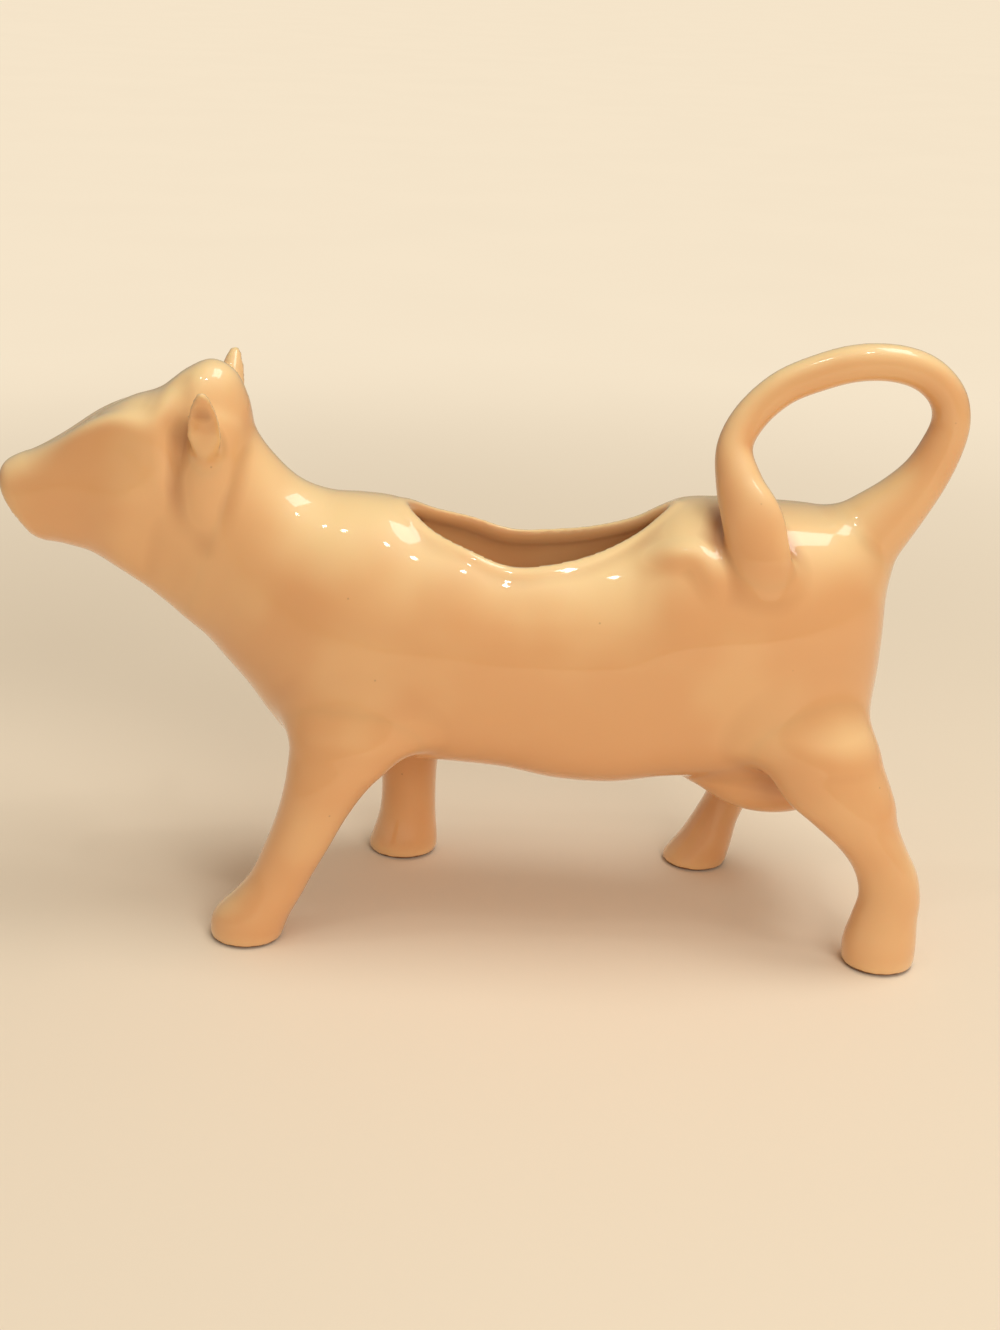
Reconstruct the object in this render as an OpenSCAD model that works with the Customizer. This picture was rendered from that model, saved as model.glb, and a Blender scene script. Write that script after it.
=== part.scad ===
// Cow creamer: a hollow glazed jug in the form of a walking cow.
// The milk goes in at the back, is poured from the mouth, and the tail is the handle.
// The cow looks along -X, its left flank is on -Y and its feet stand on z = 0.

/* [Head] */
// Length of the head, from the nose to the seam with the neck
head_l = 50; // [44:1:58]
// Height of the head, from the chin to the poll
head_h = 36; // [30:1:42]
// Greatest width of the head, at the brow
head_w = 25; // [22:1:30]
// Height of the chin above the table
chin_z = 75.5; // [66:0.5:84]

/* [Neck and barrel] */
// Reach of the neck, from the seam to the withers
neck_l = 27; // [22:1:34]
// Length of the barrel, from the withers to the rump
barrel_l = 97; // [86:1:112]
// Height of the barrel, from the belly to the back
barrel_h = 57; // [50:1:64]
// Greatest width of the barrel
barrel_w = 46; // [42:1:52]
// Height of the belly above the table
belly_z = 30.5; // [26:0.5:38]
// Thickness of the cast wall
wall = 2.6; // [2:0.1:3.4]

/* [Openings] */
// Clear length of the filling opening in the back
opening_l = 50; // [44:1:58]
// Clear width of the filling opening
opening_w = 23; // [18:1:28]
// Distance of the opening's front corner behind the withers
opening_set = 3; // [0.5:0.5:7]
// Width of the pouring hole in the mouth
mouth_w = 8.4; // [7.6:0.2:9.4]

/* [Ears] */
// Length of an ear, with the root that is set in the head
ear_l = 23; // [20:1:28]
// Width of an ear
ear_w = 7; // [6:0.5:10]
// Thickness of an ear
ear_t = 2.6; // [2:0.1:3.4]
// Depth of the hollow in an ear
ear_scoop = 1.8; // [0.8:0.1:2.6]

/* [Legs] */
// Distance between the middles of the left and right feet
track = 42; // [38:1:48]
// Length of a foot along the cow
foot_l = 14.2; // [12:0.2:17]
// Width of a foot
foot_w = 13.2; // [11:0.2:15]
// Step of the left front foot, ahead of the withers
step_front_left = 26.5; // [20:0.5:30]
// Step of the right front foot, ahead of the withers
step_front_right = -2.1; // [-8:0.1:4]
// Step of the left rear foot, behind the rump
step_rear_left = 2.7; // [-3:0.1:5]
// Step of the right rear foot, behind the rump
step_rear_right = -30.6; // [-36:0.2:-26]

/* [Udder] */
// Length of the udder
udder_l = 34; // [26:1:36]
// Width of the udder
udder_w = 20; // [14:1:20]
// Depth of the udder below the belly
udder_drop = 6.6; // [4:0.2:9]

/* [Tail handle] */
// Thickness of the tail where it is gripped
tail_t = 7.6; // [6.4:0.2:9]
// Width of the tuft that lies on the left hip
tuft_w = 12.6; // [10:0.2:14]
// Height of the tail's loop above the back
loop_h = 30; // [26:1:34]
// Reach of the tail behind the rump
tail_reach = 12.5; // [10:0.5:15]
// Length of the loop along the cow
loop_l = 48; // [44:1:52]

/* [Hidden] */
glaze = [0.95, 0.86, 0.72];

// Gap of the luted joint between an added piece and the casting
joint_gap = 0.12;

// Places along the cow, with the middle of the whole length at x = 0
nose_x = -(head_l + neck_l + barrel_l + tail_reach) / 2;
seam_x = nose_x + head_l;
withers_x = seam_x + neck_l;
rump_x = withers_x + barrel_l;
poll_z = chin_z + head_h;
back_z = belly_z + barrel_h;

// Sections of the casting from the mouth to the rump. A row holds the top point and the
// bottom point of a section as shares of length and height, the share of the width, the
// share of the height where the section is widest, and the squareness of its outline.
head_shares = [
    [0.085, 0.205, 0.115, 0.03, 0.31, 0.50, 2.0],
    [0.048, 0.235, 0.115, 0.005, 0.385, 0.52, 2.1],
    [0.005, 0.30, 0.155, -0.02, 0.47, 0.56, 2.1],
    [0.02, 0.388, 0.18, -0.032, 0.555, 0.54, 2.1],
    [0.08, 0.443, 0.235, -0.04, 0.61, 0.55, 2.1],
    [0.165, 0.488, 0.295, -0.055, 0.67, 0.58, 2.2],
    [0.28, 0.572, 0.355, -0.078, 0.76, 0.62, 2.2],
    [0.40, 0.688, 0.405, -0.112, 0.865, 0.65, 2.3],
    [0.515, 0.775, 0.45, -0.152, 0.96, 0.66, 2.3],
    [0.625, 0.83, 0.49, -0.192, 1.00, 0.66, 2.2],
    [0.73, 0.94, 0.53, -0.234, 0.985, 0.62, 2.1],
    [0.83, 1.00, 0.57, -0.275, 0.93, 0.56, 2.0],
    [0.92, 0.945, 0.61, -0.32, 0.88, 0.51, 2.0],
    [0.975, 0.795, 0.66, -0.375, 0.87, 0.50, 2.0],
    [1.00, 0.635, 0.72, -0.447, 0.90, 0.50, 2.0]];
neck_shares = [
    [0.13, 0.24, -0.365, 0.57, 0.095, 0.50, 2.0],
    [0.315, 0.05, -0.22, 0.475, 0.25, 0.50, 2.0],
    [0.53, -0.04, -0.05, 0.362, 0.435, 0.50, 2.05],
    [0.765, -0.055, 0.113, 0.232, 0.625, 0.49, 2.1]];
barrel_shares = [
    [0.00, 0.965, -0.20, 0.10, 0.887, 0.48, 2.1],
    [0.08, 0.92, -0.122, 0.064, 0.948, 0.48, 2.15],
    [0.165, 0.901, -0.01, 0.054, 0.983, 0.48, 2.15],
    [0.245, 0.867, 0.12, 0.046, 1.00, 0.48, 2.15],
    [0.325, 0.868, 0.235, 0.031, 1.00, 0.48, 2.15],
    [0.41, 0.88, 0.345, -0.004, 1.00, 0.48, 2.15],
    [0.49, 0.918, 0.46, -0.012, 1.00, 0.48, 2.15],
    [0.57, 0.997, 0.565, 0.013, 0.995, 0.49, 2.15],
    [0.655, 1.012, 0.665, 0.025, 0.974, 0.50, 2.15],
    [0.745, 1.01, 0.755, 0.035, 0.93, 0.51, 2.15],
    [0.83, 1.005, 0.83, 0.06, 0.852, 0.52, 2.15],
    [0.905, 0.985, 0.90, 0.11, 0.722, 0.52, 2.15],
    [0.955, 0.93, 0.96, 0.175, 0.55, 0.52, 2.1],
    [0.985, 0.85, 0.987, 0.265, 0.35, 0.52, 2.1],
    [0.998, 0.755, 0.997, 0.395, 0.14, 0.52, 2.0],
    [1.00, 0.69, 1.00, 0.48, 0.013, 0.52, 2.0]];

// Legs from the foot up: height as a share of the belly's height, lean as a share of the
// way to the joint, length as a share of the foot, splay as a share of the way to the
// middle of the body, and width as a share of the foot.
leg_front_left_shares = [
    [0.00, 0.00, 0.96, 0.00, 0.94], [0.04, 0.00, 1.02, 0.00, 1.00],
    [0.17, 0.045, 1.07, 0.00, 1.00], [0.32, 0.185, 0.94, 0.00, 0.88],
    [0.46, 0.295, 0.86, 0.01, 0.82], [0.66, 0.42, 0.90, 0.04, 0.88],
    [0.88, 0.545, 0.98, 0.12, 0.98], [1.08, 0.665, 1.18, 0.24, 1.14],
    [1.26, 0.80, 1.54, 0.44, 1.28], [1.48, 0.94, 1.88, 0.70, 1.34],
    [1.80, 1.00, 1.90, 1.00, 1.34]];
leg_front_right_shares = [
    [0.00, 0.00, 0.98, 0.00, 0.98], [0.04, 0.00, 1.05, 0.00, 1.05],
    [0.14, -0.09, 0.98, 0.00, 1.00], [0.28, -0.17, 0.87, 0.00, 0.88],
    [0.46, -0.20, 0.83, 0.01, 0.84], [0.66, -0.18, 0.86, 0.04, 0.88],
    [0.88, -0.09, 1.03, 0.12, 0.98], [1.08, 0.10, 1.36, 0.24, 1.14],
    [1.26, 0.35, 1.74, 0.44, 1.28], [1.48, 0.75, 1.90, 0.70, 1.34],
    [1.80, 1.00, 1.80, 1.00, 1.34]];
leg_rear_left_shares = [
    [0.00, 0.00, 0.96, 0.00, 0.94], [0.04, 0.00, 1.02, 0.00, 1.00],
    [0.17, 0.00, 1.02, 0.00, 1.00], [0.33, -0.02, 0.92, 0.00, 0.86],
    [0.49, -0.04, 0.86, 0.00, 0.80], [0.66, 0.02, 0.88, 0.03, 0.84],
    [0.82, 0.16, 0.96, 0.08, 0.92], [0.98, 0.34, 1.22, 0.18, 1.04],
    [1.12, 0.48, 1.54, 0.30, 1.16], [1.32, 0.63, 1.66, 0.52, 1.26],
    [1.54, 0.78, 1.72, 0.78, 1.26], [1.90, 1.00, 1.50, 1.05, 1.00]];
leg_rear_right_shares = [
    [0.00, 0.00, 0.93, 0.00, 0.94], [0.04, 0.00, 0.98, 0.00, 1.00],
    [0.20, 0.165, 0.81, 0.00, 0.94], [0.36, 0.30, 0.69, 0.00, 0.82],
    [0.54, 0.48, 0.67, 0.00, 0.80], [0.74, 0.67, 0.75, 0.05, 0.88],
    [0.92, 0.84, 1.00, 0.14, 1.00], [1.10, 1.00, 1.32, 0.28, 1.14],
    [1.32, 1.07, 1.62, 0.52, 1.26], [1.54, 1.04, 1.62, 0.78, 1.26],
    [1.90, 1.00, 1.30, 1.05, 1.00]];
// Places of the upper ends of the legs inside the barrel, as shares of its length
shoulder_share = -0.03;
hip_left_share = 0.80;
hip_right_share = 0.82;
// Distance of a leg's upper end from the middle plane, as a share of the track
joint_y_share = 0.29;

// Tail from its root in the rump to the tuft: along the loop, up from the back, sideways
// as a share of the barrel's width, thickness, width, and how far it belongs to the tuft.
tail_shares = [
    [0.43, -0.66, 0.00, 1.55, 1.55, 0], [0.59, -0.36, 0.00, 1.28, 1.28, 0],
    [0.735, -0.125, 0.00, 0.98, 0.98, 0], [0.845, 0.07, 0.00, 0.75, 0.75, 0],
    [0.925, 0.25, 0.00, 0.61, 0.61, 0], [0.978, 0.44, 0.00, 0.54, 0.54, 0],
    [1.00, 0.61, 0.00, 0.49, 0.49, 0], [0.972, 0.77, 0.00, 0.47, 0.47, 0],
    [0.885, 0.90, 0.00, 0.47, 0.47, 0], [0.76, 0.96, 0.00, 0.47, 0.47, 0],
    [0.61, 0.953, 0.00, 0.47, 0.47, 0], [0.467, 0.885, 0.00, 0.465, 0.465, 0],
    [0.32, 0.775, -0.01, 0.45, 0.45, 0], [0.202, 0.60, -0.04, 0.445, 0.445, 0],
    [0.14, 0.41, -0.10, 0.46, 0.46, 0], [0.162, 0.21, -0.19, 0.50, 0.60, 0],
    [0.209, 0.04, -0.28, 0.47, 0.57, 0.5], [0.239, -0.10, -0.335, 0.40, 0.45, 1],
    [0.268, -0.22, -0.36, 0.36, 0.41, 1], [0.30, -0.33, -0.335, 0.33, 0.33, 1],
    [0.325, -0.43, -0.25, 0.27, 0.25, 1]];

// Ear from its root in the head to the tip: along the ear, width, thickness and hollow
ear_shares = [
    [0.00, 0.50, 1.40, 0.00], [0.15, 0.62, 1.75, 0.00], [0.30, 0.75, 2.00, 0.00],
    [0.40, 0.90, 1.45, 0.45], [0.50, 0.99, 1.05, 0.95], [0.65, 0.94, 1.00, 1.00],
    [0.80, 0.73, 0.90, 0.85], [0.93, 0.42, 0.75, 0.40], [1.00, 0.10, 0.35, 0.00]];
// Root and lean of the left ear: shares of the head's length, width and height
ear_root_share = [0.835, -0.30, 0.46];
ear_lean_share = [0.06, -0.62, 0.78];

// Udder from its lowest point up: height share of its depth, length share, width share
udder_shares = [
    [0.00, 0.10, 0.10], [0.03, 0.30, 0.36], [0.16, 0.50, 0.64],
    [0.42, 0.70, 0.86], [0.80, 0.90, 0.98], [1.30, 1.04, 1.00],
    [3.00, 1.04, 0.96]];
// Middle of the udder as a share of the barrel's length
udder_x_share = 0.8;

// Number of facets round each kind of piece and along it
barrel_sides = 28;
head_sides = 28;
leg_sides = 20;
tail_sides = 14;
ear_sides = 14;

// A point of a smooth curve through rows of numbers, s counting the rows
function knot(rows, i) = rows[min(max(i, 0), len(rows) - 1)];
function along(rows, s) =
    let (i = min(floor(s), len(rows) - 2), t = s - i)
    let (a = knot(rows, i - 1), b = knot(rows, i), c = knot(rows, i + 1), d = knot(rows, i + 2))
    b + ((c - a) * t + (2 * a - 5 * b + 4 * c - d) * t * t
        + (3 * b - a - 3 * c + d) * t * t * t) / 2;
function mix(a, b, t) = a + (b - a) * t;
function signed_power(v, e) = sign(v) * pow(abs(v), e);

// Sections of the casting in real sizes: top x, top z, bottom x, bottom z, half width,
// share of the height where it is widest, squareness. The first is the mouth's edge.
sections = concat(
    [for (i = [0 : len(head_shares) - 1]) let (r = head_shares[i])
        [nose_x + r[0] * head_l, chin_z + r[1] * head_h, nose_x + r[2] * head_l,
            chin_z + r[3] * head_h, (i == 0 ? mouth_w : r[4] * head_w) / 2, r[5], r[6]]],
    [for (r = neck_shares) [seam_x + r[0] * neck_l, mix(back_z, poll_z, r[1]),
        seam_x + r[2] * neck_l, mix(belly_z, chin_z, r[3]),
        mix(head_w * head_shares[len(head_shares) - 1][4], barrel_w, r[4]) / 2, r[5], r[6]]],
    [for (r = barrel_shares) [withers_x + r[0] * barrel_l, belly_z + r[1] * barrel_h,
        withers_x + r[2] * barrel_l, belly_z + r[3] * barrel_h, r[4] * barrel_w / 2, r[5], r[6]]]);
seam_s = len(head_shares) - 1;
rump_s = len(sections) - 1;

// A point of the casting's skin: th is 0 at the top, 90 on the right and 180 below
function skin(row, th, inset = 0) =
    let (top = [row[0], 0, row[1]], low = [row[2], 0, row[3]], mid = mix(low, top, row[5]))
    let (up = (top - low) / norm(top - low), e = 2 / row[6])
    let (reach = (cos(th) > 0 ? norm(top - mid) : norm(mid - low)) - inset)
    mid + up * signed_power(cos(th), e) * reach
        + [0, signed_power(sin(th), e) * (row[4] - inset), 0];

// Closely spaced sections, in which a point's own section is found by halving
fine_steps = 8;
fine_sections = [for (i = [0 : rump_s * fine_steps]) along(sections, i / fine_steps)];
function behind(p, row) =
    (row[0] - row[2]) * (p[2] - row[3]) - (row[1] - row[3]) * (p[0] - row[2]);
function section_below(p, lo, hi) =
    hi - lo < 2 ? lo
    : let (mid = floor((lo + hi) / 2))
        behind(p, fine_sections[mid]) > 0 ? section_below(p, lo, mid) : section_below(p, mid, hi);
function section_through(p) =
    let (i = section_below(p, 0, len(fine_sections) - 1))
    let (a = fine_sections[i], b = fine_sections[i + 1])
    let (da = behind(p, a), db = behind(p, b))
    mix(a, b, da == db ? 0 : min(max(da / (da - db), 0), 1));
// Negative inside the casting grown by the gap of the luted joint, positive outside
function clear_of_casting(p) =
    let (row = section_through(p))
    let (top = [row[0], 0, row[1]], low = [row[2], 0, row[3]], mid = mix(low, top, row[5]))
    let (up = (top - low) / norm(top - low), h = (p - mid) * up)
    let (reach = (h > 0 ? norm(top - mid) : norm(mid - low)) + joint_gap)
    pow(abs(p[1]) / (row[4] + joint_gap), row[6]) + pow(abs(h) / reach, row[6]) - 1;

// The place between t_out and t_in where a line of a piece enters the casting
function entry(line, t_out, t_in, n = 16) =
    n == 0 ? t_out
    : let (t = (t_out + t_in) / 2)
        clear_of_casting(line(t)) > 0 ? entry(line, t, t_in, n - 1) : entry(line, t_out, t, n - 1);

// Two triangles between neighbouring points a, b of one ring and d, c of the next
function patch(a, b, c, d) = [[a, b, c], [a, c, d]];
function flip(faces) = [for (f = faces) [for (i = [len(f) - 1 : -1 : 0]) f[i]]];
function band(lower, upper, n) =
    [for (k = [0 : n - 1]) each patch(lower + k, lower + (k + 1) % n,
        upper + (k + 1) % n, upper + k)];

// A piece that grows out of the casting. ring(k, r, t) gives its point at side k, at
// share r of the radius and t along it. t_free is a place clear of the casting, and the
// piece enters it on the way to t_root. Rings that follow the casting close it there.
// Its other end is a plain foot at t_free, or, with t_back, a second root.
module grown(ring, t_free, t_root, sides, steps, root_rings, t_back = undef) {
    two_roots = !is_undef(t_back);
    function root_at(k, r, t_in) = entry(function (t) ring(k, r, t), t_free, t_in);
    function foot_at(k, r) = two_roots ? root_at(k, r, t_back) : t_free;
    foot_rings = two_roots ? root_rings : 1;
    starts = [for (k = [0 : sides - 1]) foot_at(k, 1)];
    ends = [for (k = [0 : sides - 1]) root_at(k, 1, t_root)];
    points = concat(
        [ring(0, 0, foot_at(0, 0))],
        [for (j = [1 : 1 : foot_rings - 1]) for (k = [0 : sides - 1])
            ring(k, j / foot_rings, foot_at(k, j / foot_rings))],
        [for (i = [0 : steps]) for (k = [0 : sides - 1])
            ring(k, 1, mix(starts[k], ends[k], i / steps))],
        [for (j = [root_rings - 1 : -1 : 1]) for (k = [0 : sides - 1])
            ring(k, j / root_rings, root_at(k, j / root_rings, t_root))],
        [ring(0, 0, root_at(0, 0, t_root))]);
    rings = foot_rings + steps + root_rings - 1;
    last = len(points) - 1;
    faces = concat(
        [for (k = [0 : sides - 1]) [0, 1 + (k + 1) % sides, 1 + k]],
        [for (i = [0 : rings - 2]) each band(1 + i * sides, 1 + (i + 1) * sides, sides)],
        [for (k = [0 : sides - 1])
            [last - sides + k, last - sides + (k + 1) % sides, last]]);
    polyhedron(points = points, faces = flip(faces), convexity = 4);
}

// Filling opening: its corners as places in the sections, and its half width on the way
function top_place(x, lo, hi, n = 18) =
    n == 0 ? lo
    : let (mid = (lo + hi) / 2)
        along(sections, mid)[0] < x ? top_place(x, mid, hi, n - 1) : top_place(x, lo, mid, n - 1);
slit_front_x = withers_x + opening_set;
slit_front = top_place(slit_front_x, seam_s, rump_s);
slit_rear = top_place(slit_front_x + opening_l, seam_s, rump_s);
// The opening is widest ahead of its middle
slit_bias = 0.66;
function slit_half(row) =
    let (t = min(max((row[0] - slit_front_x) / opening_l, 0), 1))
    (opening_w + wall) / 2 * sin(180 * pow(t, slit_bias));
function slit_angle(row) = asin(min(pow(slit_half(row) / row[4], row[6] / 2), 0.95));

// Inset of the cavity, wider where the section shrinks towards the rump
function cavity_inset(s) =
    let (a = along(sections, s - 0.2), b = along(sections, s + 0.2))
    wall * norm([1, 2 * (b[4] - a[4]) / norm([b[0] + b[2] - a[0] - a[2], b[1] + b[3] - a[1] - a[3]])]);

// Stations of the barrel: from the seam to the slit, along the slit, and to the rump
neck_steps = 12;
slit_steps = 20;
rump_steps = 14;
cavity_end = rump_s - 3.4;
first = neck_steps;
second = first + slit_steps;
stations = second + rump_steps + 1;
function station(i, end) =
    i <= first ? mix(seam_s, slit_front, i / neck_steps)
    : i <= second ? mix(slit_front, slit_rear, (i - first) / slit_steps)
    : mix(slit_rear, end, (i - second) / rump_steps);

module body_shell() {
    n = barrel_sides;
    rows_out = [for (i = [0 : stations - 1]) along(sections, station(i, rump_s))];
    rows_in = [for (i = [0 : stations - 1]) along(sections, station(i, cavity_end))];
    insets = [for (i = [0 : stations - 1]) cavity_inset(station(i, cavity_end))];
    angles = [for (i = [0 : stations - 1]) i > first && i < second ? slit_angle(rows_out[i]) : 0];
    function around(i, j) = mix(angles[i], 360 - angles[i], j / n);
    outer = [for (i = [0 : stations - 1]) for (j = [0 : n]) skin(rows_out[i], around(i, j))];
    inner = [for (i = [0 : stations - 1]) for (j = [0 : n])
        skin(rows_in[i], around(i, j), insets[i])];
    function out_at(i, j) = i * (n + 1) + (j == n && angles[i] == 0 ? 0 : j);
    function in_at(i, j) = stations * (n + 1) + out_at(i, j);

    // The rim of the opening is rounded by three points between the outer and inner edge
    rim = [for (i = [first : second]) for (side = [0, 1]) for (k = [1 : 3])
        let (a = outer[out_at(i, side * n)], b = inner[out_at(i, side * n)])
        let (across = skin(rows_out[i], around(i, side * n) + (side == 0 ? -3 : 3)) - a)
        let (bulge = min(norm(a - b) / 2, 0.8 * slit_half(rows_out[i])))
        mix(a, b, (1 - cos(45 * k)) / 2) + across / norm(across) * bulge * sin(45 * k)];
    rim_base = 2 * stations * (n + 1);
    function rim_at(i, side, k) =
        k == 0 ? out_at(i, side * n)
        : k == 4 ? in_at(i, side * n)
        : rim_base + ((i - first) * 2 + (angles[i] == 0 ? 0 : side)) * 3 + k - 1;
    out_cap = rim_base + len(rim);
    in_cap = out_cap + 1;
    last = stations - 1;
    function centre(row) = [(row[0] + row[2]) / 2, 0, (row[1] + row[3]) / 2];

    faces = concat(
        [for (i = [0 : last - 1]) for (j = [0 : n - 1])
            each patch(out_at(i, j), out_at(i, j + 1), out_at(i + 1, j + 1), out_at(i + 1, j))],
        [for (i = [0 : last - 1]) for (j = [0 : n - 1])
            each patch(in_at(i, j), in_at(i + 1, j), in_at(i + 1, j + 1), in_at(i, j + 1))],
        [for (i = [first : second - 1]) for (k = [0 : 3])
            each patch(rim_at(i, 0, k), rim_at(i + 1, 0, k), rim_at(i + 1, 0, k + 1),
                rim_at(i, 0, k + 1))],
        [for (i = [first : second - 1]) for (k = [0 : 3])
            each patch(rim_at(i, 1, k), rim_at(i, 1, k + 1), rim_at(i + 1, 1, k + 1),
                rim_at(i + 1, 1, k))],
        [for (j = [0 : n - 1])
            each patch(out_at(0, j), in_at(0, j), in_at(0, j + 1), out_at(0, j + 1))],
        [for (j = [0 : n - 1]) [out_at(last, j), out_at(last, j + 1), out_cap]],
        [for (j = [0 : n - 1]) [in_at(last, j + 1), in_at(last, j), in_cap]]);
    color(glaze) polyhedron(
        points = concat(outer, inner, rim, [centre(rows_out[last]), centre(rows_in[last])]),
        faces = faces, convexity = 8);
}

// Head: hollow from the seam to the pouring hole in the mouth
head_steps = 26;
channel_start = 4;
module head() {
    n = head_sides;
    m = head_steps;
    outer = [for (i = [0 : m]) for (j = [0 : n - 1])
        skin(along(sections, seam_s * i / m), 360 * j / n)];
    inner = [for (i = [1 : m]) let (s = mix(channel_start, seam_s, (i - 1) / (m - 1)))
        for (j = [0 : n - 1]) skin(along(sections, s), 360 * j / n, wall)];
    faces = concat(
        [for (i = [0 : m - 1]) each band(i * n, (i + 1) * n, n)],
        flip(band(0, (m + 1) * n, n)),
        [for (i = [1 : m - 1]) each flip(band((m + i) * n, (m + i + 1) * n, n))],
        band(m * n, 2 * m * n, n));
    color(glaze) polyhedron(points = concat(outer, inner), faces = faces, convexity = 8);
}

// Ears: leaves with a hollow face, set in the sides of the head
function ear_ring(k, r, t) =
    let (row = along(ear_shares, t), a = -360 * k / ear_sides)
    let (root = [nose_x + ear_root_share[0] * head_l, ear_root_share[1] * head_w,
        chin_z + ear_root_share[2] * head_h])
    let (lean = ear_lean_share / norm(ear_lean_share), rise = row[0] * ear_l)
    let (wide = [1, 0, 0] - lean * lean[0], across = wide / norm(wide))
    let (face = cross(lean, across))
    root + lean * rise + r * (across * cos(a) * row[1] * ear_w / 2
        + face * sin(a) * row[2] * ear_t / 2)
        + face * (0.5 - pow(r * cos(a), 2)) * row[3] * ear_scoop;
module ear() {
    grown(function (k, r, t) ear_ring(k, r, t), len(ear_shares) - 1, 0, ear_sides, 8, 3);
}
module ear_left() { color(glaze) ear(); }
module ear_right() { color(glaze) mirror([0, 1, 0]) ear(); }

// Legs: lofted from an oval foot to a joint inside the barrel
function leg_ring(rows, foot_x, top_x, side, k, r, t) =
    let (row = along(rows, t), a = 360 * k / leg_sides)
    let (y = mix(track / 2, track * joint_y_share, row[3]))
    [mix(foot_x, top_x, row[1]) + r * cos(a) * row[2] * foot_l / 2,
        side * (y + r * sin(a) * row[4] * foot_w / 2), row[0] * belly_z];
module leg(rows, foot_x, top_share, side) {
    top_x = withers_x + top_share * barrel_l;
    color(glaze) grown(function (k, r, t) leg_ring(rows, foot_x, top_x, side, side * k, r, t),
        0, len(rows) - 1, leg_sides, 16, 5);
}
module leg_front_left() {
    leg(leg_front_left_shares, withers_x - step_front_left, shoulder_share, -1);
}
module leg_front_right() {
    leg(leg_front_right_shares, withers_x - step_front_right, shoulder_share, 1);
}
module leg_rear_left() {
    leg(leg_rear_left_shares, rump_x + step_rear_left, hip_left_share, -1);
}
module leg_rear_right() {
    leg(leg_rear_right_shares, rump_x + step_rear_right, hip_right_share, 1);
}

// Udder: a low dome under the belly between the rear legs
function udder_ring(k, r, t) =
    let (row = along(udder_shares, t), a = 360 * k / leg_sides)
    [withers_x + udder_x_share * barrel_l + r * cos(a) * row[1] * udder_l / 2,
        r * sin(a) * row[2] * udder_w / 2, belly_z + (row[0] - 1) * udder_drop];
module udder() {
    color(glaze) grown(function (k, r, t) udder_ring(k, r, t), 0, len(udder_shares) - 1,
        leg_sides, 7, 4);
}

// Tail handle: a tube along a loop, with both ends cut to the casting
tail_steps = 40;
tail_free = 9;
function tail_middle(row) = [rump_x + tail_reach - tail_t / 2 - (1 - row[0]) * loop_l,
    row[2] * barrel_w, back_z + row[1] * loop_h];
function tail_ring(k, r, t) =
    let (row = along(tail_shares, t), a = -360 * k / tail_sides)
    let (before = tail_middle(along(tail_shares, t - 0.1)),
        after = tail_middle(along(tail_shares, t + 0.1)))
    let (way = (after - before) / norm(after - before))
    let (u = cross(way, [0, 1, 0]), in_plane = u / norm(u), aside = cross(in_plane, way))
    tail_middle(row) + r * (in_plane * cos(a) * row[4] * mix(tail_t, tuft_w, row[5])
        + aside * sin(a) * row[3] * tail_t);
module tail_handle() {
    color(glaze) grown(function (k, r, t) tail_ring(k, r, t), tail_free, len(tail_shares) - 1,
        tail_sides, tail_steps, 6, 0);
}

body_shell();
head();
ear_left();
ear_right();
leg_front_left();
leg_front_right();
leg_rear_left();
leg_rear_right();
udder();
tail_handle();
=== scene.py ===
"""Cow creamer: the glazed look of the slip-cast jug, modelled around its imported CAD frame.

The cast body, head, legs, ears, udder and tail are lofted from tables of shares, luted together
in a grid of distances as a potter softens the joints with slip, and cut apart again into pieces.
"""

from math import pi, radians

import bpy
import numpy as np
import openvdb
from bpy.props import FloatProperty, FloatVectorProperty, PointerProperty
from mathutils import Matrix, Vector
from mathutils.geometry import tessellate_polygon


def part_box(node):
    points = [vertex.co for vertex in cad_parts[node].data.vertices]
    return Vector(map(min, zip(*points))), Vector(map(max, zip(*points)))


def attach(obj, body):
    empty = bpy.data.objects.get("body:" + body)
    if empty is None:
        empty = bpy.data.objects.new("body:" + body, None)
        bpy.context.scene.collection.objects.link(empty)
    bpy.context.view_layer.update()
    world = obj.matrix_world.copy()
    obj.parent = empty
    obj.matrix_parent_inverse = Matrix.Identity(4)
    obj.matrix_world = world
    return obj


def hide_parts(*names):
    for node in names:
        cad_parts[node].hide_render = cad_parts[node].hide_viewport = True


bl_info = {
    "name": "Cow creamer",
    "version": (1, 0, 0),
    "blender": (4, 5, 0),
    "location": "View3D > Sidebar > Creamer",
    "description": "Models and glazes a slip-cast cow creamer around its packed CAD frame",
    "category": "Add Mesh",
}

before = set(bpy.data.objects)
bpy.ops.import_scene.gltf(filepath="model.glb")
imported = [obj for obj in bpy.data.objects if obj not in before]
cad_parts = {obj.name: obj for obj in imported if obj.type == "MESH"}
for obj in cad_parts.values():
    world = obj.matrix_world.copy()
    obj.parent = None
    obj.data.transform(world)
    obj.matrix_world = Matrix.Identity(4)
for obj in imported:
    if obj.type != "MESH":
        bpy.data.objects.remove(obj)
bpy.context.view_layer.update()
MM = 0.001
LIP = 1.2 * MM  # how far the lip of the opening stands in from the walls below it
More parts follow.
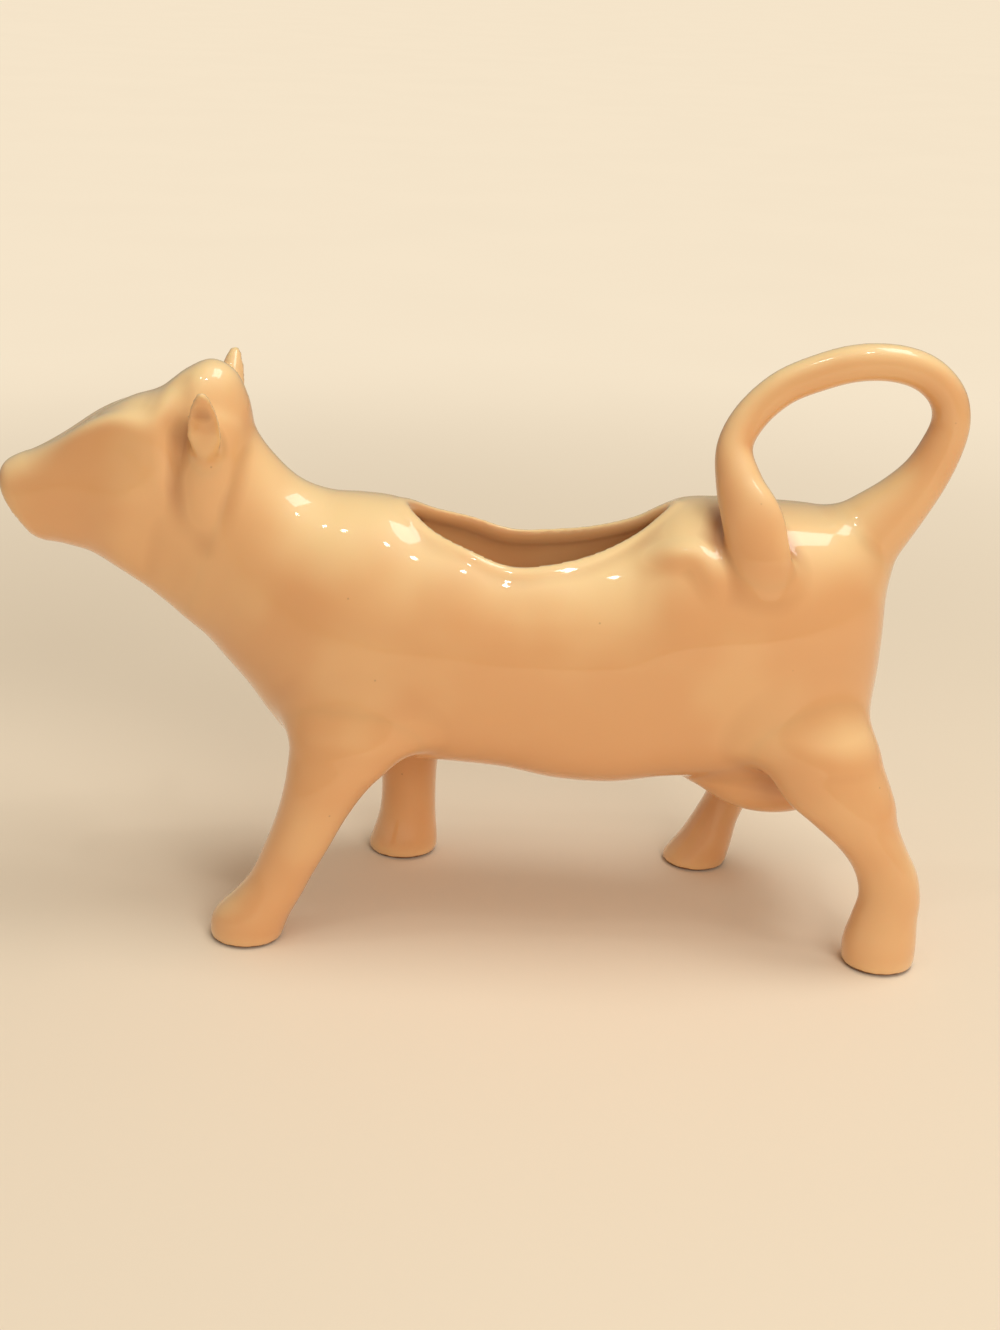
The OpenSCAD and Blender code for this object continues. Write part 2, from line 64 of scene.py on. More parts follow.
# What the measure of the skin's curvature says on a flat wall, how far it is lowered for painted
# shade in an ear's hollow, what it is set to for the one pour of glaze inside, which leaves a
# thinner coat, and how far it is lowered for painted shade on the lips round the pouring mouth
WALL_BEND, EAR_SHADE, THIN_POUR, MOUTH_SHADE = 0.18 * MM, 0.34 * MM, 0.04 * MM, 0.3 * MM
LIP_ROUND, RIM_ROUND = 1.3 * MM, 0.8 * MM  # how far the edges of the clay are rounded
WALL_LOSS = 0.9 * MM  # how much of the wall a pressed stroke may take
INNER_FACE = 1.2 * MM  # skin nearer to the hollow than this faces the inside
JOINT_SINK = 0.3 * MM  # how far the middle of a hidden joint face lies below the casting's skin
ON_CUT = 0.12  # share of a cell within which a point counts as lying on a cut
THROAT_SHARE = 0.6  # where the straight walls below the opening end, up the barrel's height
END_SET = 1.5 * MM  # how far those walls stop short of the opening's ends
# Points round a section, and sections along a solid
CASTING_SIDES, LIMB_SIDES, SMALL_SIDES = 120, 72, 60
ROW_STEPS, CAVITY_STEPS, SLIT_STEPS, LEG_STEPS = 10, 300, 120, 90
EAR_STEPS, UDDER_STEPS, TAIL_STEPS, STROKE_STEPS = 60, 50, 240, 60

# Sections of the casting from the mouth to the rump. A row holds the top point and the
# bottom point of a section as shares of length and height, the share of the width, the
# share of the height where the section is widest, and the squareness of its outline.
HEAD_SHARES = [
    [0.085, 0.205, 0.115, 0.03, 0.31, 0.50, 2.0],
    [0.048, 0.235, 0.115, 0.005, 0.385, 0.52, 2.1],
    [0.005, 0.30, 0.155, -0.02, 0.47, 0.56, 2.1],
    [0.02, 0.388, 0.18, -0.032, 0.555, 0.54, 2.1],
    [0.08, 0.443, 0.235, -0.04, 0.61, 0.55, 2.1],
    [0.165, 0.488, 0.295, -0.055, 0.67, 0.58, 2.2],
    [0.28, 0.572, 0.355, -0.078, 0.76, 0.62, 2.2],
    [0.40, 0.688, 0.405, -0.112, 0.865, 0.65, 2.3],
    [0.515, 0.775, 0.45, -0.152, 0.96, 0.66, 2.3],
    [0.625, 0.83, 0.49, -0.192, 1.00, 0.66, 2.2],
    [0.73, 0.94, 0.53, -0.234, 0.985, 0.62, 2.1],
    [0.83, 1.00, 0.57, -0.275, 0.93, 0.56, 2.0],
    [0.92, 0.945, 0.61, -0.32, 0.88, 0.51, 2.0],
    [0.975, 0.795, 0.66, -0.375, 0.87, 0.50, 2.0],
    [1.00, 0.635, 0.72, -0.447, 0.90, 0.50, 2.0],
]
NECK_SHARES = [
    [0.13, 0.24, -0.365, 0.57, 0.095, 0.50, 2.0],
    [0.315, 0.05, -0.22, 0.475, 0.25, 0.50, 2.0],
    [0.53, -0.04, -0.05, 0.362, 0.435, 0.50, 2.05],
    [0.765, -0.055, 0.113, 0.232, 0.625, 0.49, 2.1],
]
BARREL_SHARES = [
    [0.00, 0.965, -0.20, 0.10, 0.887, 0.48, 2.1],
    [0.08, 0.92, -0.122, 0.064, 0.948, 0.48, 2.15],
    [0.165, 0.901, -0.01, 0.054, 0.983, 0.48, 2.15],
    [0.245, 0.867, 0.12, 0.046, 1.00, 0.48, 2.15],
    [0.325, 0.868, 0.235, 0.031, 1.00, 0.48, 2.15],
    [0.41, 0.88, 0.345, -0.004, 1.00, 0.48, 2.15],
    [0.49, 0.918, 0.46, -0.012, 1.00, 0.48, 2.15],
    [0.57, 0.997, 0.565, 0.013, 0.995, 0.49, 2.15],
    [0.655, 1.012, 0.665, 0.025, 0.974, 0.50, 2.15],
    [0.745, 1.01, 0.755, 0.035, 0.93, 0.51, 2.15],
    [0.83, 1.005, 0.83, 0.06, 0.852, 0.52, 2.15],
    [0.905, 0.985, 0.90, 0.11, 0.722, 0.52, 2.15],
    [0.955, 0.93, 0.96, 0.175, 0.55, 0.52, 2.1],
    [0.985, 0.85, 0.987, 0.265, 0.35, 0.52, 2.1],
    [0.998, 0.755, 0.997, 0.395, 0.14, 0.52, 2.0],
    [1.00, 0.69, 1.00, 0.48, 0.013, 0.52, 2.0],
]
SEAM_ROW = len(HEAD_SHARES) - 1
RUMP_ROW = len(HEAD_SHARES) + len(NECK_SHARES) + len(BARREL_SHARES) - 1
# Rows between which the casting is hollow
CHANNEL_ROW = 4
CAVITY_ROW = RUMP_ROW - 3.4
# The opening is widest ahead of its middle, and its ends are rounded by its fullness
SLIT_BIAS, SLIT_FULLNESS = 0.78, 0.8

# Legs from the foot up: height as a share of the belly's height, lean as a share of the way
# to the joint, length as a share of the foot, splay as a share of the way to the middle of
# the body, and width as a share of the foot.
LEG_SHARES = {
    "leg_front_left": [
        [0.00, 0.00, 0.96, 0.00, 0.94], [0.04, 0.00, 1.02, 0.00, 1.00],
        [0.17, 0.045, 1.07, 0.00, 1.00], [0.32, 0.185, 0.94, 0.00, 0.88],
        [0.46, 0.295, 0.86, 0.01, 0.82], [0.66, 0.42, 0.90, 0.04, 0.88],
        [0.88, 0.545, 0.98, 0.12, 0.98], [1.08, 0.665, 1.18, 0.24, 1.14],
        [1.26, 0.80, 1.54, 0.44, 1.28], [1.48, 0.94, 1.88, 0.70, 1.34],
        [1.85, 1.00, 1.00, 1.30, 0.60],
    ],
    "leg_front_right": [
        [0.00, 0.00, 0.98, 0.00, 0.98], [0.04, 0.00, 1.05, 0.00, 1.05],
        [0.14, -0.09, 0.98, 0.00, 1.00], [0.28, -0.17, 0.87, 0.00, 0.88],
        [0.46, -0.20, 0.83, 0.01, 0.84], [0.66, -0.18, 0.86, 0.04, 0.88],
        [0.88, -0.09, 1.03, 0.12, 0.98], [1.08, 0.10, 1.36, 0.24, 1.14],
        [1.26, 0.35, 1.74, 0.44, 1.28], [1.48, 0.75, 1.90, 0.70, 1.34],
        [1.85, 1.00, 1.00, 1.30, 0.60],
    ],
    "leg_rear_left": [
        [0.00, 0.00, 0.96, 0.00, 0.94], [0.04, 0.00, 1.02, 0.00, 1.00],
        [0.17, 0.00, 1.02, 0.00, 1.00], [0.33, -0.02, 0.92, 0.00, 0.86],
        [0.49, -0.04, 0.86, 0.00, 0.80], [0.66, 0.02, 0.88, 0.03, 0.84],
        [0.82, 0.16, 0.96, 0.08, 0.92], [0.98, 0.34, 1.22, 0.18, 1.04],
        [1.12, 0.48, 1.54, 0.30, 1.16], [1.32, 0.63, 1.66, 0.52, 1.26],
        [1.54, 0.78, 1.72, 0.78, 1.26], [1.95, 1.00, 0.90, 1.35, 0.55],
    ],
    "leg_rear_right": [
        [0.00, 0.00, 0.93, 0.00, 0.94], [0.04, 0.00, 0.98, 0.00, 1.00],
        [0.20, 0.165, 0.81, 0.00, 0.94], [0.36, 0.30, 0.69, 0.00, 0.82],
        [0.54, 0.48, 0.67, 0.00, 0.80], [0.74, 0.67, 0.75, 0.05, 0.88],
        [0.92, 0.84, 1.00, 0.14, 1.00], [1.10, 1.00, 1.32, 0.28, 1.14],
        [1.32, 1.07, 1.62, 0.52, 1.26], [1.54, 1.04, 1.62, 0.78, 1.26],
        [1.95, 1.00, 0.90, 1.35, 0.55],
    ],
}
LEGS = list(LEG_SHARES)
# Upper end of each leg as a share of the barrel's length, and its side
LEG_TOPS = {
    "leg_front_left": (-0.03, -1),
    "leg_front_right": (-0.03, 1),
    "leg_rear_left": (0.80, -1),
    "leg_rear_right": (0.82, 1),
}
JOINT_Y_SHARE = 0.29

# Tail from its root in the rump to the tuft: along the loop, up from the back, sideways as
# a share of the barrel's width, thickness, width, and how far it belongs to the tuft.
TAIL_SHARES = [
    [0.43, -0.66, 0.00, 1.55, 1.55, 0], [0.59, -0.36, 0.00, 1.28, 1.28, 0],
    [0.735, -0.125, 0.00, 0.98, 0.98, 0], [0.845, 0.07, 0.00, 0.75, 0.75, 0],
    [0.925, 0.25, 0.00, 0.61, 0.61, 0], [0.978, 0.44, 0.00, 0.54, 0.54, 0],
    [1.00, 0.61, 0.00, 0.49, 0.49, 0], [0.972, 0.77, 0.00, 0.47, 0.47, 0],
    [0.885, 0.90, 0.00, 0.47, 0.47, 0], [0.76, 0.96, 0.00, 0.47, 0.47, 0],
    [0.61, 0.953, 0.00, 0.47, 0.47, 0], [0.467, 0.885, 0.00, 0.465, 0.465, 0],
    [0.32, 0.775, -0.01, 0.45, 0.45, 0], [0.202, 0.60, -0.04, 0.445, 0.445, 0],
    [0.14, 0.41, -0.10, 0.46, 0.46, 0], [0.162, 0.21, -0.19, 0.50, 0.60, 0],
    [0.209, 0.04, -0.28, 0.47, 0.57, 0.5], [0.239, -0.10, -0.335, 0.40, 0.45, 1],
    [0.268, -0.22, -0.36, 0.36, 0.41, 1], [0.30, -0.33, -0.335, 0.33, 0.33, 1],
    [0.325, -0.43, -0.25, 0.27, 0.25, 1],
]

# Ear from its root in the head to the tip: along the ear, width, thickness and hollow
EAR_SHARES = [
    [0.00, 0.50, 1.40, 0.00], [0.15, 0.62, 1.75, 0.00], [0.30, 0.75, 1.85, 0.00],
    [0.40, 0.90, 1.45, 0.45], [0.50, 0.99, 1.05, 0.95], [0.65, 0.94, 1.00, 1.00],
    [0.80, 0.73, 0.90, 0.85], [0.93, 0.42, 0.75, 0.40], [1.00, 0.10, 0.35, 0.00],
]
EAR_ROOT_SHARE = [0.835, -0.30, 0.46]
EAR_LEAN_SHARE = [0.06, -0.62, 0.78]

# Udder from its lowest point up: height share of its depth, length share, width share
UDDER_SHARES = [
    [0.00, 0.10, 0.10], [0.03, 0.30, 0.36], [0.16, 0.50, 0.64], [0.42, 0.70, 0.86],
    [0.80, 0.90, 0.98], [1.30, 1.04, 1.00], [3.00, 1.04, 0.96],
]
UDDER_X_SHARE = 0.80

# Strokes of the modelling tool on both flanks: 1 where clay is laid on or -1 where it is
# pressed in, the tool's radius and the softness of its edge in mm, and the places as casting
# row, angle from the top in degrees, and height or depth in mm, below zero where it fades.
STROKES = {
    "brow": (1, 2.6, 3.0, [[5.3, 23, -1.4], [6.2, 32, 0.2], [7.2, 40, 0.5], [8.1, 50, 0.6],
                           [8.9, 64, 0.5], [9.5, 72, -1.2]]),
    "cheek": (-1, 25.0, 3.0, [[5.6, 74, -1.3], [6.8, 78, 0.1], [8.0, 82, 0.6], [9.2, 86, 0.4],
                              [10.1, 90, -1.4]]),
    "throatlatch": (-1, 2.6, 2.6, [[9.6, 22, -1.2], [10.1, 42, 0.3], [10.35, 58, 0.8],
                                   [10.7, 70, 1.3], [11.15, 79, 1.4], [11.5, 86, 1.2],
                                   [12.0, 92, 0.7], [12.7, 96, 0.2], [13.6, 99, -1.4]]),
    "jaw": (1, 4.0, 3.0, [[11.9, 68, -1.6], [12.2, 76, 0.3], [12.5, 84, 0.6], [12.8, 90, 0.2],
                          [13.2, 97, -1.5]]),
    "ear_base": (1, 4.0, 4.0, [[12.0, 50, -0.8], [12.1, 62, 0.6], [12.3, 70, 0.5],
                               [12.5, 76, -0.4], [12.7, 80, -1.8]]),
    "hip": (1, 2.6, 2.6, [[25.4, 32, -1.4], [25.9, 37, 0.4], [26.25, 39, 0.7], [26.5, 43, 0.8],
                          [26.7, 50, 0.5], [26.8, 58, -1.5]]),
}


def length(mm, label, text):
    """A size that a user can change, stated in millimetres and kept in metres."""
    return FloatProperty(
        name=label, description=text, default=mm * MM, unit="LENGTH", precision=4
    )


def colour(hexcode, label, text):
    """A colour that a user can change, from its sRGB hex value."""
    return FloatVectorProperty(
        name=label, description=text, default=linear(hexcode), subtype="COLOR", size=3,
        min=0, max=1,
    )


def linear(hexcode):
    """Linear colour of an sRGB hex value."""
    parts = [int(hexcode[i : i + 2], 16) / 255 for i in (0, 2, 4)]
    return tuple(c / 12.92 if c <= 0.04045 else ((c + 0.055) / 1.055) ** 2.4 for c in parts)


class CowSizes(bpy.types.PropertyGroup):
    head_l: length(50, "Head length", "From the nose to the seam with the neck")
    head_h: length(36, "Head height", "From the chin to the poll")
    head_w: length(25, "Head width", "Greatest width of the head, at the brow")
    chin_z: length(75.5, "Chin height", "Height of the chin above the table")
    neck_l: length(27, "Neck reach", "From the seam to the withers")
    barrel_l: length(97, "Barrel length", "From the withers to the rump")
    barrel_h: length(57, "Barrel height", "From the belly to the back")
    barrel_w: length(46, "Barrel width", "Greatest width of the barrel")
    belly_z: length(30.5, "Belly height", "Height of the belly above the table")
    wall: length(2.6, "Wall", "Thickness of the cast wall")
    opening_l: length(50, "Opening length", "Clear length of the filling opening")
    opening_w: length(23, "Opening width", "Clear width of the filling opening")
    opening_set: length(3, "Opening set", "From the withers to the opening's front corner")
    rim_w: length(2.4, "Rim width", "Width of the raised rim round the filling opening")
    rim_h: length(0.45, "Rim height", "Height of the raised rim above the back")
    mouth_w: length(8.4, "Mouth width", "Width of the pouring hole in the mouth")
    ear_l: length(23, "Ear length", "Length of an ear with its root")
    ear_w: length(7, "Ear width", "Width of an ear")
    ear_t: length(2.6, "Ear thickness", "Thickness of an ear")
    ear_scoop: length(1.8, "Ear hollow", "Depth of the hollow in an ear")
    track: length(42, "Track", "Between the middles of the left and right feet")
    foot_l: length(14.2, "Foot length", "Length of a foot along the cow")
    foot_w: length(13.2, "Foot width", "Width of a foot")
    step_front_left: length(26.5, "Left front step", "Ahead of the withers")
    step_front_right: length(-2.1, "Right front step", "Ahead of the withers")
    step_rear_left: length(2.7, "Left rear step", "Behind the rump")
    step_rear_right: length(-30.6, "Right rear step", "Behind the rump")
    udder_l: length(34, "Udder length", "Length of the udder")
    udder_w: length(20, "Udder width", "Width of the udder")
    udder_drop: length(6.6, "Udder depth", "Depth of the udder below the belly")
    tail_t: length(7.6, "Tail thickness", "Thickness of the tail where it is gripped")
    tuft_w: length(12.6, "Tuft width", "Width of the tuft on the left hip")
    loop_h: length(30, "Loop height", "Height of the tail's loop above the back")
    loop_l: length(48, "Loop length", "Length of the loop along the cow")
    tail_reach: length(12.5, "Tail reach", "Reach of the tail behind the rump")
    grit: length(0.7, "Grain", "Spacing of the grid in which the joints are softened")


class CowColours(bpy.types.PropertyGroup):
    glaze: colour("E7A96D", "Glaze", "Honey-cream glaze where it lies evenly")
    # Also painted shade: this colour darkens creases, the ears' hollows and the lips of the mouth
    pooled_glaze_and_shade: colour("B8733A", "Pooled glaze", "Glaze that has gathered in a crease")
    # Also painted light: this pale colour is laid over what faces up
    pale_glaze_and_top_light: colour("FFDA9C", "Thin glaze", "Glaze that has run off a ridge or the back")
    # The band of this colour at the feet also paints the contact shadow under them
    clay: colour("8A5A36", "Bare clay", "Fired clay under the feet and in the specks")
    table: colour("F7E6CB", "Table", "Pale table and backdrop")


def along(rows, places):
    """Rows of numbers on a smooth curve through a table, at fractional row numbers."""
    rows = np.asarray(rows, float)
    places = np.atleast_1d(np.asarray(places, float))
    start = np.clip(np.floor(places).astype(int), 0, len(rows) - 2)
    t = (places - start)[:, None]
    a, b, c, d = (rows[np.clip(start + k, 0, len(rows) - 1)] for k in (-1, 0, 1, 2))
    curve = (c - a) * t + (2 * a - 5 * b + 4 * c - d) * t**2 + (3 * b - a - 3 * c + d) * t**3
    return b + curve / 2


def finely(table, count):
    """Rows at an even count of places from a table's first row to its last."""
    return along(table, np.linspace(0, len(table) - 1, count))


def turns(sides):
    return np.linspace(0, 2 * pi, sides, endpoint=False)


def mix(a, b, t):
    return a + (b - a) * t


class Places:
    """Places along the cow that follow from its sizes, in metres."""

    def __init__(self, s):
        self.nose_x = -(s.head_l + s.neck_l + s.barrel_l + s.tail_reach) / 2
        self.seam_x = self.nose_x + s.head_l
        self.withers_x = self.seam_x + s.neck_l
        self.rump_x = self.withers_x + s.barrel_l
        self.poll_z = s.chin_z + s.head_h
        self.back_z = s.belly_z + s.barrel_h
        self.slit_x = self.withers_x + s.opening_set


def casting_rows(s):
    """The casting's sections in real sizes: top x, z, bottom x, z, half width, shape."""
    at = Places(s)
    rows = []
    for i, r in enumerate(HEAD_SHARES):
        half = (s.mouth_w if i == 0 else r[4] * s.head_w) / 2
        rows.append([at.nose_x + r[0] * s.head_l, s.chin_z + r[1] * s.head_h,
                     at.nose_x + r[2] * s.head_l, s.chin_z + r[3] * s.head_h, half, *r[5:]])
    neck_w = s.head_w * HEAD_SHARES[-1][4]
    for r in NECK_SHARES:
        rows.append([at.seam_x + r[0] * s.neck_l, mix(at.back_z, at.poll_z, r[1]),
                     at.seam_x + r[2] * s.neck_l, mix(s.belly_z, s.chin_z, r[3]),
                     mix(neck_w, s.barrel_w, r[4]) / 2, *r[5:]])
    for r in BARREL_SHARES:
        rows.append([at.withers_x + r[0] * s.barrel_l, s.belly_z + r[1] * s.barrel_h,
                     at.withers_x + r[2] * s.barrel_l, s.belly_z + r[3] * s.barrel_h,
                     r[4] * s.barrel_w / 2, *r[5:]])
    return np.array(rows)


def unit(rows):
    """Rows of numbers, each scaled to a length of 1."""
    return rows / np.linalg.norm(rows, axis=1)[:, None]


def signed_power(v, e):
    return np.sign(v) * np.abs(v) ** e


def section_rings(rows, turn, inset=0.0):
    """Points of the casting at the given rows and turns, each drawn in by inset."""
    inset = np.broadcast_to(inset, len(rows))[:, None]
    if np.isscalar(turn):
        turn = turns(turn)[None, :]
    top = np.stack([rows[:, 0], 0 * rows[:, 0], rows[:, 1]], 1)
    low = np.stack([rows[:, 2], 0 * rows[:, 0], rows[:, 3]], 1)
    middle = low + (top - low) * rows[:, 5:6]
    tall = np.linalg.norm(top - low, axis=1)[:, None]
    up = (top - low) / tall
    power = 2 / rows[:, 6:7]
    reach = np.where(np.cos(turn) > 0, tall * (1 - rows[:, 5:6]), tall * rows[:, 5:6]) - inset
    height = signed_power(np.cos(turn), power) * reach
    aside = signed_power(np.sin(turn), power) * (rows[:, 4:5] - inset)
    rings = middle[:, None, :] + up[:, None, :] * height[..., None]
    rings[..., 1] += aside
    return rings


def ring_solid(rings):
    """Points and triangles of a closed solid round a stack of rings."""
    count, sides, _ = rings.shape
    points = np.concatenate([rings.reshape(-1, 3), rings[:1].mean(1), rings[-1:].mean(1)])
    ring = np.arange(sides)
    after = (ring + 1) % sides
    level, k = (v.ravel() for v in np.meshgrid(np.arange(count - 1), ring, indexing="ij"))
    a, b = level * sides + k, level * sides + (k + 1) % sides
    last = (count - 1) * sides
    triangles = np.concatenate([
        np.stack([a, b, b + sides], 1),
        np.stack([a, b + sides, a + sides], 1),
        np.stack([after, ring, np.full(sides, count * sides)], 1),
        np.stack([last + ring, last + after, np.full(sides, count * sides + 1)], 1),
    ])
    return points, triangles


def casting_solid(s):
    rows = finely(casting_rows(s), RUMP_ROW * ROW_STEPS + 1)
    return ring_solid(section_rings(rows, CASTING_SIDES))


def throat_z(s):
    """Height at which the straight walls below the opening end."""
    return s.belly_z + s.barrel_h * THROAT_SHARE


def cavity_solids(s):
    """The hollow inside the casting, the channel to the mouth and the cut of the opening."""
    table = casting_rows(s)
    places = np.linspace(CHANNEL_ROW, CAVITY_ROW, CAVITY_STEPS)
    a, b = along(table, places - 0.2), along(table, places + 0.2)
    step = np.linalg.norm(b[:, :4] - a[:, :4], axis=1)
    # The wall keeps its thickness where the sections shrink towards the rump
    inset = s.wall * np.hypot(1, 2 * (b[:, 4] - a[:, 4]) / step)
    inset = np.where(places > SEAM_ROW, inset, s.wall)
    hollow = section_rings(along(table, places), CASTING_SIDES, inset)
    mouth = section_rings(along(table, [0]), CASTING_SIDES)[0]
    throat = section_rings(along(table, [CHANNEL_ROW]), CASTING_SIDES, s.wall)[0]
    out = mouth.mean(0) - throat.mean(0)
    out /= np.linalg.norm(out)
    channel = np.stack([throat - out * 2 * MM, throat, mouth, mouth + out * 6 * MM])
    at = Places(s)
    t = np.linspace(0, 1, SLIT_STEPS)
    half = s.opening_w / 2 * np.sin(pi * t**SLIT_BIAS) ** SLIT_FULLNESS + 0.15 * MM
    x = at.slit_x + t * s.opening_l
    low, high = throat_z(s), at.back_z + 20 * MM
    corners = [(-1, low), (1, low), (1, high), (-1, high)]
    cut = np.stack([np.stack([x, side * half, np.full_like(x, z)], 1) for side, z in corners], 1)
    return ring_solid(hollow), ring_solid(channel), ring_solid(cut)


def leg_solid(s, name):
    at = Places(s)
    top_share, side = LEG_TOPS[name]
    top_x = at.withers_x + top_share * s.barrel_l
    from_x = at.rump_x if "rear" in name else at.withers_x
    step = getattr(s, name.replace("leg", "step"))
    foot_x = from_x + step if "rear" in name else from_x - step
    table = LEG_SHARES[name]
    rows = finely(table, LEG_STEPS)
    turn = turns(LIMB_SIDES)
    y = mix(s.track / 2, s.track * JOINT_Y_SHARE, rows[:, 3])
    x = mix(foot_x, top_x, rows[:, 1])
    rings = np.stack([
        x[:, None] + np.cos(turn) * rows[:, 2:3] * s.foot_l / 2,
        side * (y[:, None] + np.sin(turn) * rows[:, 4:5] * s.foot_w / 2),
        np.repeat(rows[:, 0:1] * s.belly_z, len(turn), 1),
    ], 2)
    return ring_solid(rings)


def ear_solid(s, side):
    at = Places(s)
    root = np.array([at.nose_x + EAR_ROOT_SHARE[0] * s.head_l, EAR_ROOT_SHARE[1] * s.head_w,
                     s.chin_z + EAR_ROOT_SHARE[2] * s.head_h])
    lean = np.array(EAR_LEAN_SHARE) / np.linalg.norm(EAR_LEAN_SHARE)
    across = np.array([1.0, 0, 0]) - lean * lean[0]
    across /= np.linalg.norm(across)
    face = np.cross(lean, across)
    rows = finely(EAR_SHARES, EAR_STEPS)
    turn = turns(SMALL_SIDES)
    wide = np.cos(turn) * rows[:, 1:2] * s.ear_w / 2
    thick = np.sin(turn) * rows[:, 2:3] * s.ear_t / 2
    hollow = (0.5 - np.cos(turn) ** 2) * rows[:, 3:4] * s.ear_scoop
    rings = (root + rows[:, None, 0:1] * s.ear_l * lean
             + wide[..., None] * across + (thick + hollow)[..., None] * face)
    rings[..., 1] *= -side
    return ring_solid(rings)


def udder_solid(s):
    at = Places(s)
    rows = finely(UDDER_SHARES, UDDER_STEPS)
    turn = turns(LIMB_SIDES)
    x = at.withers_x + UDDER_X_SHARE * s.barrel_l + np.cos(turn) * rows[:, 1:2] * s.udder_l / 2
    y = np.sin(turn) * rows[:, 2:3] * s.udder_w / 2
    z = np.repeat(s.belly_z + (rows[:, 0:1] - 1) * s.udder_drop, len(turn), 1)
    return ring_solid(np.stack([x, y, z], 2))


def tail_middle(s, rows):
    at = Places(s)
    return np.stack([
        at.rump_x + s.tail_reach - s.tail_t / 2 - (1 - rows[:, 0]) * s.loop_l,
        rows[:, 2] * s.barrel_w,
        at.back_z + rows[:, 1] * s.loop_h,
    ], 1)


def tube_solid(middle, wide, thick):
    """A solid of oval sections along a line, wide in the cow's long plane."""
    way = unit(np.gradient(middle, axis=0))
    in_plane = unit(np.cross(way, [0, 1, 0]))
    aside = np.cross(in_plane, way)
    turn = turns(SMALL_SIDES)[None, :, None]
    return ring_solid(middle[:, None] + in_plane[:, None] * np.cos(turn) * wide[:, None, None]
                      + aside[:, None] * np.sin(turn) * thick[:, None, None])


def tail_solid(s):
    rows = finely(TAIL_SHARES, TAIL_STEPS)
    return tube_solid(tail_middle(s, rows), rows[:, 4] * mix(s.tail_t, s.tuft_w, rows[:, 5]),
                      rows[:, 3] * s.tail_t)


def stroke_solid(s, name, side):
    """The rod that a stroke adds to the skin, or the rod that is pressed into it."""
    way, radius, _, marks = STROKES[name]
    marks = finely(marks, STROKE_STEPS)
    rows = along(casting_rows(s), marks[:, 0])
    inset = way * (radius - marks[:, 2]) * MM
    middle = section_rings(rows, np.radians(marks[:, 1:2]), inset)[:, 0]
    middle[:, 1] *= side
    return tube_solid(middle, *[np.full(len(rows), radius * MM)] * 2)


class Clay:
    """A grid of distances round the CAD box, in which solids are joined and carved."""

    margin = 9  # cells round the CAD box
    band = 13  # cells on each side of a surface in which distances are kept
    moves, stride = 3, 2 * MM  # moves that take a point onto a level, and the longest of them
    flattest = 0.25  # least squared slope that a move is worked out with

    def __init__(self, grit):
        self.grit = grit
        boxes = np.array([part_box(node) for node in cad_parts])
        low, high = boxes[:, 0].min(0), boxes[:, 1].max(0)
        self.low = np.floor(low / grit).astype(int) - self.margin
        self.shape = tuple(np.ceil(high / grit).astype(int) + self.margin - self.low)

    def distance(self, solid):
        """Distance to a closed solid, negative inside it."""
        points, triangles = solid
        grid = openvdb.FloatGrid.createLevelSetFromPolygons(
            points.astype(np.float32), triangles=triangles.astype(np.uint32),
            transform=openvdb.createLinearTransform(voxelSize=self.grit), halfWidth=self.band)
        field = np.empty(self.shape, np.float32)
        grid.copyToArray(field, ijk=tuple(int(v) for v in self.low))
        return field

    def surface(self, field):
        """Points and four-sided faces where a field is zero."""
        grid = openvdb.FloatGrid(self.band * self.grit)
        grid.gridClass = openvdb.GridClass.LEVEL_SET
        grid.transform = openvdb.createLinearTransform(voxelSize=self.grit)
        grid.copyFromArray(field, ijk=tuple(int(v) for v in self.low))
        return grid.convertToQuads(isovalue=0)

    def read(self, field, points):
        """Values of a field at points, between its cells."""
        place = np.clip(points / self.grit - self.low, 0, np.array(self.shape) - 1.001)
        cell = place.astype(int)
        t = place - cell
        value = 0
        for corner in np.ndindex(2, 2, 2):
            share = np.prod(np.where(corner, t, 1 - t), axis=1)
            i, j, k = (cell + corner).T
            value = value + share * field[i, j, k]
        return value

    def slope(self, field, points):
        """Direction and rate of a field's rise at points."""
        steps = np.eye(3) * self.grit
        rise = [self.read(field, points + d) - self.read(field, points - d) for d in steps]
        return np.stack(rise, 1) / (2 * self.grit)

    def onto(self, field, points, level=0.0):
        """Points moved along the slope to where the field has a level."""
        for _ in range(self.moves):
            slope = self.slope(field, points)
            gap = self.read(field, points) - level
            step = slope * (gap / np.maximum((slope**2).sum(1), self.flattest))[:, None]
            size = np.linalg.norm(step, axis=1)[:, None]
            points = points - step * np.minimum(1, self.stride / np.maximum(size, 1e-9))
        return points


def lute(a, b, reach):
    """Union of two solids with a soft fillet that starts at reach from the joint."""
    near = np.maximum(reach - np.abs(a - b), 0) / reach
    return np.minimum(a, b) - near**2 * reach / 4


def carve(a, b, reach):
    """What is left of a when b is taken out, with an edge rounded by reach."""
    return -lute(-a, b, reach)


def sponge(field, passes=1):
    """Softens a field as a wet sponge takes the facets off leather-hard clay."""
    for _ in range(passes):
        for axis in range(3):
            ahead, behind = np.roll(field, -1, axis), np.roll(field, 1, axis)
            field = (ahead + 2 * field + behind) / 4
    return field


